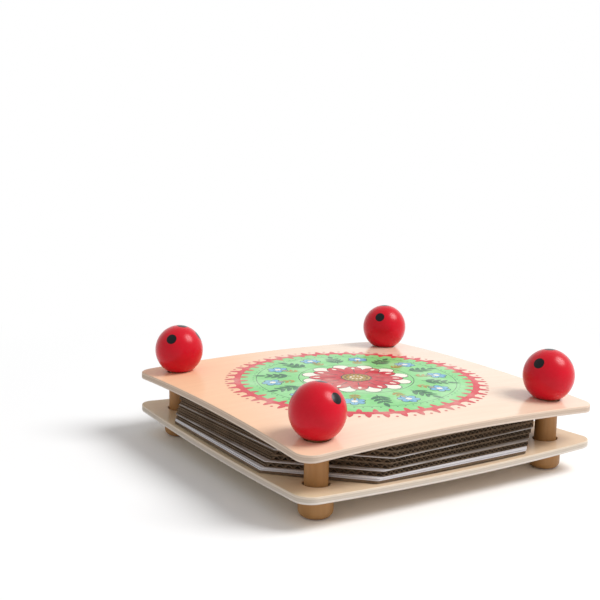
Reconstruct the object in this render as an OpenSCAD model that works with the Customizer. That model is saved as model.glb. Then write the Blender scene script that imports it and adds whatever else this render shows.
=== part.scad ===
// Flower press: two bowed plywood boards on four turned wooden bolts.
// Ball nuts draw the boards together over a stack of cards and blotting papers.
// X and Y run along the board's sides, Z is up, and the feet stand on z = 0.

/* [Boards] */
// Length of each side of the two square boards
board_width = 180; // [172:1:200]
// Thickness of each plywood board
board_t = 3.7; // [3:0.1:6]
// Radius of the boards' corners
board_corner_r = 8.5; // [4:0.5:14]
// How far the top board's centre stands above its corners
top_rise = 5.2; // [3:0.1:8]
// How far the bottom board's centre hangs below its corners
bottom_drop = 4.2; // [3:0.1:5.5]
// Distance from a board's edges to the centre of each bolt
bolt_inset = 18; // [15:0.5:19]

/* [Bolts] */
// Diameter of the bolt's smooth shank
shank_d = 11.4; // [9:0.1:12]
// Clearance between the shank and each board's hole, all round
shank_gap = 0.7; // [0.3:0.1:1]
// How far the bolt's head, which is the press's foot, reaches past the board's hole all round
foot_rim = 1.85; // [1:0.05:5]
// Height of the foot
foot_h = 11.2; // [9:0.1:16]
// Radius of the rounding at the foot's lower edge
foot_round_r = 3.4; // [1:0.1:6]
// Step in radius from the shank down to the thread's crests
thread_step = 0.3; // [0.1:0.05:1]
// Width of the lead-in chamfer at the bolt's tip
thread_chamfer = 1.2; // [0.5:0.1:2]

/* [Nuts] */
// Widest diameter of each ball nut
nut_d = 26.8; // [22:0.1:32]
// Height of each ball nut from its flat to its crown
nut_h = 25.6; // [22:0.1:30]
// Width of the ring on which the ball nut bears, round the board's hole
nut_rim = 0.8; // [0.5:0.1:3]
// Wood left between the threaded bore and the crown
nut_crown_t = 6; // [3:0.5:10]
// Clearance between the thread and the bore, all round
thread_gap = 0.06; // [0.02:0.01:0.1]
// Free depth beyond the bolt's tip inside the nut when the press is shut
tip_gap = 2; // [1:0.5:4]

/* [Sheets] */
// How far the sheets' sides lie inside the boards' edges
sheet_inset = 4.5; // [4:0.5:12]
// Least clearance between a bolt's shank and the cut corner of a sheet
corner_gap = 0.7; // [0.5:0.1:4]
// Thickness of each corrugated card
card_t = 2.6; // [2:0.1:4]
// Thickness of the plain card at each end of the stack
plain_card_t = 1.3; // [0.8:0.1:2]
// Thickness of the two flat faces of a card
liner_t = 0.35; // [0.2:0.05:0.5]
// Thickness of the waved layer inside a card
flute_t = 0.3; // [0.2:0.05:0.4]
// Distance from one wave of a card to the next
flute_pitch = 3; // [2.6:0.1:7]
// Width of the glued crest where a wave meets a face
crest_w = 0.7; // [0.6:0.1:1.2]
// Thickness of each blotting paper
paper_t = 0.5; // [0.3:0.05:1]
// Farthest that a loose sheet lies off the middle of the stack
sheet_play = 2.4; // [0:0.1:2.6]
// Farthest that a loose sheet is turned in the stack, in degrees
sheet_turn = 3.2; // [0:0.1:3.5]

/* [Hidden] */

// Clearance between a flat sheet and the bowed board that it bears on
sheet_gap = 0.15;
// Clearance between a bowed board and the foot or the nut that bears on it
seat_gap = 0.08;
// How far a cut runs past what it cuts
overrun = 2;
// Facets of the round pieces, and of the wide arcs that give the boards their bow
$fn = 64;
bow_fn = 1440;
// Straight steps in the outline of a ball nut and in the rounding of a foot
nut_steps = 28;
foot_steps = 8;

// Corners of the press, as signs of X and Y
front = [-1, -1];
right = [1, -1];
back = [1, 1];
left = [-1, 1];

// Kinds of sheet
waved = "corrugated card";
plain = "plain card";
blotting = "blotting paper";

// Each sheet from the lowest up: its name, its kind, and its place in the stack as shares
// of the sheet's play along X and Y and of its turn
sheet_rows = [
    ["card_1", plain, [-0.85, -0.5, 0]],
    ["paper_1", blotting, [-0.8, -0.55, 0.02]],
    ["paper_2", blotting, [-0.65, -0.45, 0.1]],
    ["paper_3", blotting, [-0.78, -0.6, 0.06]],
    ["card_2", waved, [-0.35, -0.1, 0.4]],
    ["paper_4", blotting, [-0.45, -0.15, 0.45]],
    ["card_3", waved, [0.2, 0.5, 0.85]],
    ["card_4", waved, [0.4, 0.3, 0.9]],
    ["paper_5", blotting, [0.5, -0.1, 0.95]],
    ["card_5", waved, [0.8, 0.1, 1]],
    ["card_6", waved, [0.6, 0.2, 1]],
    ["card_7", plain, [0.4, -0.1, 0.95]]
];

// Radius of the sphere whose cap rises by this much over this reach
function bow_r(reach, rise) = (reach * reach + rise * rise) / (2 * rise);
// How far such a sphere falls away from its pole at this reach
function sag(reach, radius) = radius - sqrt(radius * radius - reach * reach);

function sheet_t(i) =
    let (kind = sheet_rows[i][1])
    kind == waved ? card_t : kind == plain ? plain_card_t : paper_t;
function sheet_place(i) = sheet_rows[i][2];
function sheet_reach(i) =
    norm([sheet_half, sheet_edge]) + sheet_play * norm([sheet_place(i)[0], sheet_place(i)[1]]);
// Height of everything below sheet i in the stack
function stack_below(i) = i == 0 ? 0 : stack_below(i - 1) + sheet_t(i - 1);
function sheet_index(name) = [for (i = [0 : sheet_count - 1]) if (sheet_rows[i][0] == name) i][0];

sheet_count = len(sheet_rows);
bolt_offset = board_width / 2 - bolt_inset;
bolt_reach = norm([bolt_offset, bolt_offset]);
corner_reach = norm([board_width / 2, board_width / 2]);
hole_r = shank_d / 2 + shank_gap;
foot_r = hole_r + foot_rim;
thread_r = shank_d / 2 - thread_step;
nut_flat_r = hole_r + nut_rim;

// Sheets: half their width, and half the length of a side once its corners are cut off
sheet_half = board_width / 2 - sheet_inset;
cut_reach = bolt_reach - shank_d / 2 - sheet_play - corner_gap;
sheet_edge = cut_reach * sqrt(2) - sheet_half;

// Bottom board: the radius and the lowest point of its underside, which rests on the feet
bottom_bow_r = bow_r(corner_reach, bottom_drop);
bottom_z = foot_h + seat_gap - sag(bolt_reach - foot_r, bottom_bow_r);

// Stack: the lowest sheet's corners bear on the bottom board
stack_z = bottom_z + board_t + sag(sheet_reach(0), bottom_bow_r - board_t) + sheet_gap;
stack_top_z = stack_z + stack_below(sheet_count);

// Top board: the radius and the highest point of its underside, which bears on the top sheet's corners
top_bow_r = bow_r(corner_reach, top_rise);
top_z = stack_top_z + sheet_gap + sag(sheet_reach(sheet_count - 1), top_bow_r);

// Nuts: each flat bears on the top board
nut_z = top_z + board_t - sag(bolt_reach - nut_flat_r, top_bow_r + board_t) + seat_gap;
bore_r = thread_r + thread_gap;
bore_depth = nut_h - nut_crown_t;

// Bolts: the thread starts inside the top board's hole and ends inside the nut
thread_z = top_z - sag(bolt_reach, top_bow_r);
tip_z = nut_z + bore_depth - tip_gap;

// Ball nut's outline: an upright ellipse, cut off where it is as wide as the flat
flat_angle = acos(2 * nut_flat_r / nut_d);
nut_half_h = nut_h / (1 + sin(flat_angle));
nut_middle_h = nut_h - nut_half_h;

module rounded_square(side, corner_r) {
    square([side - 2 * corner_r, side], center = true);
    square([side, side - 2 * corner_r], center = true);
    for (x = [-1, 1], y = [-1, 1])
        translate([x * (side / 2 - corner_r), y * (side / 2 - corner_r)])
            circle(corner_r);
}

// Shell between two spheres that share a centre, highest on the Z axis, where its underside is z = 0
module bowed_shell(inner_r) {
    rotate_extrude($fn = bow_fn / 8)
        intersection() {
            translate([0, -inner_r])
                difference() {
                    circle(inner_r + board_t, $fn = bow_fn);
                    circle(inner_r, $fn = bow_fn);
                }
            translate([0, board_t - board_width / 4])
                square([corner_reach + overrun, board_width / 2]);
        }
}

// Board whose middle stands up, with a clearance hole for each bolt
module bowed_board(inner_r) {
    difference() {
        intersection() {
            bowed_shell(inner_r);
            translate([0, 0, -board_width / 4])
                linear_extrude(board_width / 2)
                    rounded_square(board_width, board_corner_r);
        }
        for (corner = [front, right, back, left])
            translate([corner[0] * bolt_offset, corner[1] * bolt_offset, -board_width / 4])
                cylinder(h = board_width / 2, r = hole_r);
    }
}

module bottom_board() {
    color("burlywood")
        translate([0, 0, bottom_z + board_t])
            mirror([0, 0, 1])
                bowed_board(bottom_bow_r - board_t);
}

module top_board() {
    color("wheat")
        translate([0, 0, top_z])
            bowed_board(top_bow_r);
}

// Foot with a rounded lower edge, the smooth shank, and the threaded end at its outer diameter
module bolt(corner) {
    color("peru")
        translate([corner[0] * bolt_offset, corner[1] * bolt_offset, 0]) {
            rotate_extrude()
                polygon(concat(
                    [[0, foot_h], [0, 0]],
                    [for (i = [0 : foot_steps])
                        let (angle = 90 * i / foot_steps)
                        [foot_r - foot_round_r * (1 - sin(angle)), foot_round_r * (1 - cos(angle))]],
                    [[foot_r, foot_h]]
                ));
            cylinder(h = thread_z, d = shank_d);
            cylinder(h = tip_z - thread_chamfer, r = thread_r);
            translate([0, 0, tip_z - thread_chamfer])
                cylinder(h = thread_chamfer, r1 = thread_r, r2 = thread_r - thread_chamfer);
        }
}

// Turned ball with a flat below and a blind threaded bore, drawn as a smooth one
module nut(corner) {
    color("crimson")
        translate([corner[0] * bolt_offset, corner[1] * bolt_offset, nut_z])
            difference() {
                rotate_extrude()
                    polygon(concat(
                        [[0, 0]],
                        [for (i = [0 : nut_steps])
                            let (angle = (90 + flat_angle) * i / nut_steps - flat_angle)
                            let (reach = i == nut_steps ? 0 : nut_d / 2 * cos(angle))
                            [reach, nut_middle_h + nut_half_h * sin(angle)]]
                    ));
                translate([0, 0, -overrun])
                    cylinder(h = bore_depth + overrun, r = bore_r);
            }
}

// Square with its four corners cut off at 45 degrees
module sheet_outline() {
    polygon([
        [-sheet_half, -sheet_edge], [-sheet_edge, -sheet_half],
        [sheet_edge, -sheet_half], [sheet_half, -sheet_edge],
        [sheet_half, sheet_edge], [sheet_edge, sheet_half],
        [-sheet_edge, sheet_half], [-sheet_half, sheet_edge]
    ]);
}

// Lays its children at the height, offset and turn of sheet i
module in_stack(i) {
    translate([
        sheet_play * sheet_place(i)[0],
        sheet_play * sheet_place(i)[1],
        stack_z + stack_below(i)
    ])
        rotate(sheet_turn * sheet_place(i)[2])
            children();
}

// Open channel over a trough of the waved layer, standing on z = 0, as a section across X and Y
module channel_section() {
    depth = card_t - 2 * liner_t - flute_t;
    wide = flute_pitch / 2 - crest_w / 2;
    narrow = crest_w / 2 - flute_t / 2;
    polygon([[-narrow, 0], [narrow, 0], [wide, depth], [-wide, depth]]);
}

// Corrugated card: two faces with a waved layer between them, its channels open along Y
module waved_card(name) {
    waves = ceil(sheet_half / flute_pitch) + 1;
    color("tan")
        in_stack(sheet_index(name))
            difference() {
                linear_extrude(card_t)
                    sheet_outline();
                rotate([90, 0, 0])
                    translate([0, 0, -sheet_half - overrun])
                        linear_extrude(2 * (sheet_half + overrun))
                            for (k = [-waves : waves]) {
                                translate([k * flute_pitch, liner_t + flute_t])
                                    channel_section();
                                translate([(k + 0.5) * flute_pitch, card_t - liner_t - flute_t])
                                    mirror([0, 1])
                                        channel_section();
                            }
            }
}

module plain_card(name) {
    color("tan")
        in_stack(sheet_index(name))
            linear_extrude(plain_card_t)
                sheet_outline();
}

module paper(name) {
    color("whitesmoke")
        in_stack(sheet_index(name))
            linear_extrude(paper_t)
                sheet_outline();
}

module bolt_front() { bolt(front); }
module bolt_right() { bolt(right); }
module bolt_back() { bolt(back); }
module bolt_left() { bolt(left); }
module nut_front() { nut(front); }
module nut_right() { nut(right); }
module nut_back() { nut(back); }
module nut_left() { nut(left); }

bottom_board();
bolt_front();
bolt_right();
bolt_back();
bolt_left();
plain_card("card_1");  // card_1
paper("paper_1");  // paper_1
paper("paper_2");  // paper_2
paper("paper_3");  // paper_3
waved_card("card_2");  // card_2
paper("paper_4");  // paper_4
waved_card("card_3");  // card_3
waved_card("card_4");  // card_4
paper("paper_5");  // paper_5
waved_card("card_5");  // card_5
waved_card("card_6");  // card_6
plain_card("card_7");  // card_7
top_board();
nut_front();
nut_right();
nut_back();
nut_left();
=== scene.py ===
"""Looks for a square wooden flower press.

Two bowed plywood boards clamp a stack of corrugated cards and blotting papers.
Four turned bolts stand in the lower board, and a lacquered ball nut runs on each.
Lengths are in metres and angles in degrees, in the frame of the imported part.
"""
import logging
import math
from dataclasses import dataclass, field
from enum import Enum
from typing import Any, Callable, Sequence, Union

import bmesh
import bpy
import numpy as np
from mathutils import Matrix, Vector
from mathutils.geometry import delaunay_2d_cdt


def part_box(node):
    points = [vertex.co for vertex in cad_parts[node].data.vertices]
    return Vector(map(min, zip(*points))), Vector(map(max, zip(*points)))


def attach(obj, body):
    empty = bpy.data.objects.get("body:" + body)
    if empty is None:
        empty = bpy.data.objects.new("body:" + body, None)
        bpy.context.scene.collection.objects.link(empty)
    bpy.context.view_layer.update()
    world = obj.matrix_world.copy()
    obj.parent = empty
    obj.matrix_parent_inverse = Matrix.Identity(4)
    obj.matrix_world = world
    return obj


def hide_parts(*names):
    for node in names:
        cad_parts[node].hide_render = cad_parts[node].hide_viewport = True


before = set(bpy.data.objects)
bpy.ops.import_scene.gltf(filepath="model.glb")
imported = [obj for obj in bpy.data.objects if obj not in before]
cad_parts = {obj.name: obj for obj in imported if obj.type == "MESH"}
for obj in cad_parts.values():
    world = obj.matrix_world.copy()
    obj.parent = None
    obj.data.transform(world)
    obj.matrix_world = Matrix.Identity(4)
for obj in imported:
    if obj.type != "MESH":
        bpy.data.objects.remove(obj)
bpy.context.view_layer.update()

log = logging.getLogger("flower_press")

Point = tuple[float, float, float]
Colour = tuple[float, float, float, float]
Number = Union["Value", float]
Socket = bpy.types.NodeSocket
Material = bpy.types.Material
Piece = bpy.types.Object

# How far each bolt stands from the middle of the press along X and along Y
BOLT_OFFSET = 0.072


def bottom_of(node: str) -> float:
    """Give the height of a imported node's lowest point."""
    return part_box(node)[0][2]


def top_of(node: str) -> float:
    """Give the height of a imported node's highest point."""
    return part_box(node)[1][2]


def ink(red: int, green: int, blue: int) -> Colour:
    """Give a display colour as the linear colour that nodes take.

    Args:
        red: Red channel, 0 to 255.
        green: Green channel, 0 to 255.
        blue: Blue channel, 0 to 255.

    Returns:
        The linear colour with an alpha of one.
    """
    linear = []
    for channel in (red, green, blue):
        share = channel / 255
        linear.append(share / 12.92 if share <= 0.04045 else ((share + 0.055) / 1.055) ** 2.4)
    return (linear[0], linear[1], linear[2], 1.0)


# Node trees


class Value:
    """Number socket that takes part in sums, each of which adds a Math node to its tree."""

    def __init__(self, tree: "Tree", socket: Socket) -> None:
        """Wrap a socket of a tree."""
        self.tree = tree
        self.socket = socket

    def maths(self, operation: str, *terms: Number) -> "Value":
        """Add a Math node.

        Args:
            operation: The node's operation.
            terms: Its inputs in order, values or numbers.

        Returns:
            The node's result.
        """
        return self.tree.value("ShaderNodeMath", {"operation": operation}, dict(enumerate(terms)))

    def __add__(self, other: Number) -> "Value":
        """Sum."""
        return self.maths("ADD", self, other)

    __radd__ = __add__

    def __sub__(self, other: Number) -> "Value":
        """Difference."""
        return self.maths("SUBTRACT", self, other)

    def __rsub__(self, other: Number) -> "Value":
        """Difference from a number."""
        return self.maths("SUBTRACT", other, self)

    def __mul__(self, other: Number) -> "Value":
        """Product."""
        return self.maths("MULTIPLY", self, other)

    __rmul__ = __mul__

    def __truediv__(self, other: Number) -> "Value":
        """Quotient."""
        return self.maths("DIVIDE", self, other)

    def __abs__(self) -> "Value":
        """Size without the sign."""
        return self.maths("ABSOLUTE", self)

    def least(self, other: Number) -> "Value":
        """The smaller of the two."""
        return self.maths("MINIMUM", self, other)

    def most(self, other: Number) -> "Value":
        """The larger of the two."""
        return self.maths("MAXIMUM", self, other)

    def sine(self) -> "Value":
        """Sine of an angle in radians."""
        return self.maths("SINE", self)

    def cosine(self) -> "Value":
        """Cosine of an angle in radians."""
        return self.maths("COSINE", self)

    def root(self) -> "Value":
        """Square root."""
        return self.maths("SQRT", self)

    def ease(self, low: float, high: float) -> "Value":
        """Rise smoothly from zero at low to one at high."""
        sockets = {"Value": self, "From Min": low, "From Max": high}
        return self.tree.value("ShaderNodeMapRange", {"interpolation_type": "SMOOTHSTEP"}, sockets)


class Tree:
    """Node tree under construction, whose every node comes from one method."""

    def __init__(self, tree: bpy.types.NodeTree) -> None:
        """Take over a tree and empty it."""
        self.tree = tree
        tree.nodes.clear()

    def add(self, kind: str, settings: dict[str, Any] | None = None,
            sockets: dict[Any, Any] | None = None) -> bpy.types.Node:
        """Add a node.

        Args:
            kind: The node's type.
            settings: Its properties, set before the sockets.
            sockets: Numbers, colours, values or sockets for its inputs, by name or index.

        Returns:
            The node.
        """
        node = self.tree.nodes.new(kind)
        for name, setting in (settings or {}).items():
            setattr(node, name, setting)
        for name, value in (sockets or {}).items():
            source = value.socket if isinstance(value, Value) else value
            if isinstance(source, Socket):
                self.tree.links.new(source, node.inputs[name])
            else:
                node.inputs[name].default_value = source
        return node

    def give(self, kind: str, settings: dict[str, Any] | None = None,
             sockets: dict[Any, Any] | None = None) -> Socket:
        """Add a node, as add does, and give its first output."""
        return self.add(kind, settings, sockets).outputs[0]

    def value(self, kind: str, settings: dict[str, Any] | None = None,
              sockets: dict[Any, Any] | None = None) -> Value:
        """Add a node, as add does, and give its first output as a number."""
        return Value(self, self.give(kind, settings, sockets))

    def split(self, vector: Socket) -> tuple[Value, Value, Value]:
        """Take a vector apart into x, y and z."""
        x, y, z = self.add("ShaderNodeSeparateXYZ", None, {0: vector}).outputs
        return Value(self, x), Value(self, y), Value(self, z)

    def vector(self, x: Number, y: Number, z: Number) -> Socket:
        """Put x, y and z together as a vector."""
        return self.give("ShaderNodeCombineXYZ", None, {0: x, 1: y, 2: z})

    def noise(self, vector: Socket, scale: float, detail: float = 2.0, roughness: float = 0.5) -> Value:
        """Add soft noise from zero to one.

        Args:
            vector: Where the noise is read.
            scale: Its cells per metre.
            detail: Octaves of finer noise.
            roughness: Strength of each finer octave.

        Returns:
            The noise.
        """
        sockets = {"Vector": vector, "Scale": scale, "Detail": detail, "Roughness": roughness}
        return self.value("ShaderNodeTexNoise", None, sockets)

    def stretch(self, vector: Socket, factors: Point) -> Socket:
        """Scale a vector along each axis."""
        return self.give("ShaderNodeVectorMath", {"operation": "MULTIPLY"}, {0: vector, 1: factors})

    def seen(self) -> Value:
        """Tell where the camera sees a thing, also in a mirror or through glass.

        Returns:
            One there, else zero.
        """
        path = self.add("ShaderNodeLightPath")
        camera, glossy, through = (Value(self, path.outputs[ray]) for ray in (
            "Is Camera Ray", "Is Glossy Ray", "Is Transmission Ray"))
        return camera.most(glossy).most(through)


class Shader(Tree):
    """Material under construction."""

    def __init__(self, name: str) -> None:
        """Start an empty material.

        Args:
            name: The material's name.
        """
        self.material = bpy.data.materials.new(name)
        self.material.use_nodes = True
        super().__init__(self.material.node_tree)
        self.place = self.add("ShaderNodeTexCoord").outputs["Object"]

    def attribute(self, name: str, output: str = "Fac") -> Socket:
        """Read an attribute of the mesh."""
        settings = {"attribute_type": "GEOMETRY", "attribute_name": name}
        return self.add("ShaderNodeAttribute", settings).outputs[output]

    def number(self, name: str) -> Value:
        """Read a number attribute of the mesh."""
        return Value(self, self.attribute(name))

    def grain(self, factors: Point, scale: float, detail: float, roughness: float = 0.5) -> Value:
        """Add noise on the object's coordinates, stretched along each axis."""
        return self.noise(self.stretch(self.place, factors), scale, detail, roughness)

    def mix(self, share: Number, first: Any, second: Any, blend: str = "MIX") -> Socket:
        """Mix two colours.

        Args:
            share: How much of the second there is.
            first: Colour or socket at a share of zero.
            second: Colour or socket at a share of one.
            blend: The Mix node's blend type.

        Returns:
            The mixed colour.
        """
        settings = {"data_type": "RGBA", "blend_type": blend}
        return self.add("ShaderNodeMix", settings, {0: share, 6: first, 7: second}).outputs[2]

    def bump(self, height: Value, depth: float) -> Socket:
        """Turn a height from zero to one into a normal, with its depth in metres."""
        sockets = {"Strength": 1.0, "Distance": depth, "Height": height}
        return self.give("ShaderNodeBump", None, sockets)

    def close(self, **sockets: Any) -> Material:
        """Add the surface shader and the output.

        Args:
            sockets: The shader's inputs, with an underscore for each space of their names.

        Returns:
            The finished material.
        """
        inputs = {name.replace("_", " "): value for name, value in sockets.items()}
        surface = self.give("ShaderNodeBsdfPrincipled", None, inputs)
        self.add("ShaderNodeOutputMaterial", None, {"Surface": surface})
        return self.material


class Recipe(Tree):
    """Geometry Nodes tree with named inputs, which makes one kind of piece."""

    def __init__(self, name: str, inputs: dict[str, float | int]) -> None:
        """Start a tree.

        Args:
            name: The tree's name.
            inputs: Its inputs with their usual values; a whole number makes an integer input.
        """
        super().__init__(bpy.data.node_groups.new(name, "GeometryNodeTree"))
        self.identifiers: dict[str, str] = {}
        for label, usual in inputs.items():
            kind = "NodeSocketInt" if isinstance(usual, int) else "NodeSocketFloat"
            socket = self.tree.interface.new_socket(label, in_out="INPUT", socket_type=kind)
            socket.default_value = usual
            self.identifiers[label] = socket.identifier
        self.tree.interface.new_socket("Geometry", in_out="OUTPUT", socket_type="NodeSocketGeometry")
        self.entry = self.add("NodeGroupInput")

    def size(self, label: str) -> Value:
        """Give a named input."""
        return Value(self, self.entry.outputs[label])

    def here(self) -> tuple[Value, Value, Value]:
        """Give the position field as x, y and z."""
        return self.split(self.give("GeometryNodeInputPosition"))

    def place_at(self, geometry: Socket, x: Number, y: Number, z: Number) -> Socket:
        """Set every point's position to the fields x, y and z."""
        sockets = {"Geometry": geometry, "Position": self.vector(x, y, z)}
        return self.give("GeometryNodeSetPosition", None, sockets)

    def move(self, geometry: Socket, shift: Point = (0, 0, 0), turn: float = 0.0) -> Socket:
        """Shift a geometry, and turn it about Z by degrees."""
        sockets = {"Geometry": geometry, "Translation": shift, "Rotation": (0, 0, math.radians(turn))}
        return self.give("GeometryNodeTransform", None, sockets)

    def join(self, *parts: Socket) -> Socket:
        """Join several geometries.

        Args:
            parts: The geometries.

        Returns:
            All of them as one.
        """
        node = self.add("GeometryNodeJoinGeometry")
        for part in parts:
            self.tree.links.new(part, node.inputs[0])
        return node.outputs[0]

    def close(self, geometry: Socket, material: Material) -> None:
        """End the tree with its instances realised and a material set.

        Args:
            geometry: What the tree has made.
            material: Its finish.
        """
        self.material = material
        real = self.give("GeometryNodeRealizeInstances", None, {0: geometry})
        sockets = {"Geometry": real, "Material": material}
        dressed = self.give("GeometryNodeSetMaterial", None, sockets)
        self.add("NodeGroupOutput", None, {0: dressed})

    def make(self, name: str, sizes: dict[str, float | int]) -> Piece:
        """Run the tree once and keep its result as a plain mesh.

        Args:
            name: Name of the piece.
            sizes: Values of the tree's inputs.

        Returns:
            The piece, at the origin, with its place in its mesh.
        """
        piece = bpy.data.objects.new(name, bpy.data.meshes.new(name + "_seed"))
        bpy.context.scene.collection.objects.link(piece)
        modifier = piece.modifiers.new(self.tree.name, "NODES")
        modifier.node_group = self.tree
        for label, value in sizes.items():
            modifier[self.identifiers[label]] = value
        evaluated = piece.evaluated_get(bpy.context.evaluated_depsgraph_get())
        mesh = bpy.data.meshes.new_from_object(evaluated)
        piece.modifiers.remove(modifier)
        seed = piece.data
        piece.data = mesh
        mesh.name = name
        mesh.materials.clear()
        mesh.materials.append(self.material)
        bpy.data.meshes.remove(seed)
        return piece


# Meshes


def plain_piece(name: str, points: Sequence[Point], faces: Sequence[Sequence[int]],
                material: Material) -> Piece:
    """Make a piece from points and faces.

    Args:
        name: Name of the piece.
        points: Its points.
        faces: Its faces as indices of points, turned outwards.
        material: Its finish.

    Returns:
        The piece, with smooth faces.
    """
    mesh = bpy.data.meshes.new(name)
    mesh.from_pydata([tuple(point) for point in points], [], [tuple(face) for face in faces])
    mesh.materials.append(material)
    mesh.shade_smooth()
    piece = bpy.data.objects.new(name, mesh)
    bpy.context.scene.collection.objects.link(piece)
    return piece


def keep_number(mesh: bpy.types.Mesh, name: str, values: Sequence[float]) -> None:
    """Store one number for each point under a name."""
    flat = np.asarray(values, np.float32)
    mesh.attributes.new(name, "FLOAT", "POINT").data.foreach_set("value", flat)


def keep_vectors(mesh: bpy.types.Mesh, name: str, vectors: Sequence[Point]) -> None:
    """Store one vector for each point under a name."""
    flat = np.asarray(vectors, np.float32).ravel()
    mesh.attributes.new(name, "FLOAT_VECTOR", "POINT").data.foreach_set("vector", flat)


def crease(mesh: bpy.types.Mesh, angle: float) -> None:
    """Make a mesh's hard edges sharp.

    Args:
        mesh: The mesh.
        angle: The turn, in degrees, past which an edge is hard.
    """
    work = bmesh.new()
    work.from_mesh(mesh)
    for edge in work.edges:
        edge.smooth = len(edge.link_faces) != 2 or edge.calc_face_angle() < math.radians(angle)
    work.to_mesh(mesh)
    work.free()


def turned(profile: Sequence[tuple[float, float]], steps: int,
           reach: Callable[[float, float, float], float] | None = None
           ) -> tuple[list[Point], list[tuple[int, ...]]]:
    """Turn a profile about the Z axis into a closed skin.

    Args:
        profile: Radius and height of each ring along the outside, from the lower pole to the
            upper one. Its first and last radius are zero.
        steps: Points on each ring.
        reach: Gives a ring point's distance from Z, from its radius, height and angle, where it
            isn't the radius.

    Returns:
        The points and the faces.
    """
    points: list[Point] = [(0.0, 0.0, profile[0][1])]
    for radius, height in profile[1:-1]:
        for step in range(steps):
            angle = 2 * math.pi * step / steps
            far = reach(radius, height, angle) if reach else radius
            points.append((far * math.cos(angle), far * math.sin(angle), height))
    points.append((0.0, 0.0, profile[-1][1]))
    rings = len(profile) - 2
    last = len(points) - 1
    faces: list[tuple[int, ...]] = []
    for step in range(steps):
        ahead = (step + 1) % steps
        faces.append((0, 1 + ahead, 1 + step))
        for ring in range(rings - 1):
            low = 1 + ring * steps
            high = low + steps
            faces.append((low + step, low + ahead, high + ahead, high + step))
        top = 1 + (rings - 1) * steps
        faces.append((last, top + step, top + ahead))
    return points, faces


def arc(centre: tuple[float, float], radius: float, start: float, end: float,
        steps: int) -> list[tuple[float, float]]:
    """Give points on an arc.

    Args:
        centre: The arc's centre.
        radius: Its radius.
        start: Angle of its first point.
        end: Angle of its last point.
        steps: Number of pieces that it is cut into.

    Returns:
        The points, both ends included.
    """
    angles = [math.radians(start + (end - start) * step / steps) for step in range(steps + 1)]
    return [(centre[0] + radius * math.cos(a), centre[1] + radius * math.sin(a)) for a in angles]


# Finishes


@dataclass(frozen=True)
class LacqueredPly:
    """Pale three-ply board under clear lacquer, its face going over from the rosy tint to the pale one
    towards one side as painted sheen, and its coat thickening the same way.
    """

    name: str
    rosy: Colour = ink(248, 200, 162)
    # Pale tint: painted sheen of the white room mirrored in the lacquer.
    pale: Colour = ink(244, 219, 194)
    grain: Colour = ink(226, 176, 140)
    edge_domed: Colour = ink(220, 195, 174)
    edge_hollow: Colour = ink(216, 200, 187)
    edge_dark: Colour = ink(186, 165, 146)
    glue: Colour = ink(150, 129, 110)
    thin_coat: float = 0.2
    thick_coat: float = 0.88
    low_seam: float = 0.33
    high_seam: float = 0.67
    seam_blur: float = 0.02
    relief_depth: float = 0.00003

    def edge(self, tree: Shader, fibre: Value) -> Socket:
        """Colour the board's edge, which shows its three plies and two lines of glue.

        Args:
            tree: The material.
            fibre: Noise along the edge.

        Returns:
            The colour.
        """
        ply = tree.number("ply")
        low, high, blur = self.low_seam, self.high_seam, self.seam_blur
        core = ply.ease(low - blur, low + blur) * (1 - ply.ease(high - blur, high + blur))
        lines = 1 - abs(abs(ply - (low + high) / 2) - (high - low) / 2).ease(0.008, 0.03)
        edge = tree.mix(ply, self.edge_hollow, self.edge_domed)
        edge = tree.mix(core * 0.6, edge, self.edge_dark)
        edge = tree.mix(fibre.ease(0.35, 0.75) * 0.35, edge, self.edge_dark)
        return tree.mix(lines * 0.55, edge, self.glue)

    def material(self) -> Material:
        """Make the finish, which reads the attributes ply and side.

        Returns:
            The material.
        """
        tree = Shader(self.name)
        streaks = tree.grain((0.06, 1.0, 1.0), 260, 5, 0.62)
        figure = tree.grain((0.25, 1.0, 1.0), 34, 3)
        pores = tree.grain((0.05, 1.0, 1.0), 1500, 1, 0.4).ease(0.66, 0.78)
        fibre = tree.grain((0.35, 0.35, 6.0), 900, 3, 0.6)
        cloud = tree.noise(tree.place, 22, 2)
        tone = (streaks.ease(0.35, 0.75) * 0.5 + figure.ease(0.4, 0.8) * 0.35 + pores * 0.25).least(1.0)
        x, y, _ = tree.split(tree.place)
        # Painted sheen: towards +X and -Y the face goes over to the pale tint, which stands in for the
        # white room mirrored in the lacquer; the coat thickens along with it.
        across = (x - y * 0.5 + cloud * 0.02).ease(-0.08, 0.02)
        face = tree.mix(across, self.rosy, self.pale)
        face = tree.mix(tone * 0.32, face, self.grain)
        side = tree.number("side").ease(0.25, 0.75)
        base = tree.mix(side, face, self.edge(tree, fibre))
        rough = 0.45 + streaks * 0.1 + side * 0.25
        relief = streaks * 0.5 + fibre * side
        coat = (self.thin_coat + across * (self.thick_coat - self.thin_coat)) * (1 - side * 0.85)
        return tree.close(Base_Color=base, Roughness=rough, IOR=1.2, Coat_Weight=coat,
                          Coat_Roughness=0.16, Normal=tree.bump(relief, self.relief_depth))


@dataclass(frozen=True)
class TurnedWood:
    """Brown hardwood off the lathe, sanded and thinly oiled."""

    body: Colour = ink(175, 130, 78)
    streak: Colour = ink(149, 103, 56)
    relief_depth: float = 0.00004

    def material(self) -> Material:
        """Make the finish.

        Returns:
            The material.
        """
        tree = Shader("turned_wood")
        streaks = tree.grain((1.0, 1.0, 0.07), 620, 4, 0.6)
        bands = tree.grain((1.0, 1.0, 0.12), 150, 2)
        marks = tree.grain((0.02, 0.02, 1.0), 2600, 1)
        tone = (streaks.ease(0.3, 0.8) * 0.3 + bands.ease(0.25, 0.85) * 0.45).least(1.0)
        base = tree.mix(tone, self.body, self.streak)
        relief = streaks * 0.6 + marks * 0.4
        return tree.close(Base_Color=base, Roughness=0.42 + streaks * 0.15, IOR=1.45,
                          Normal=tree.bump(relief, self.relief_depth))


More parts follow.
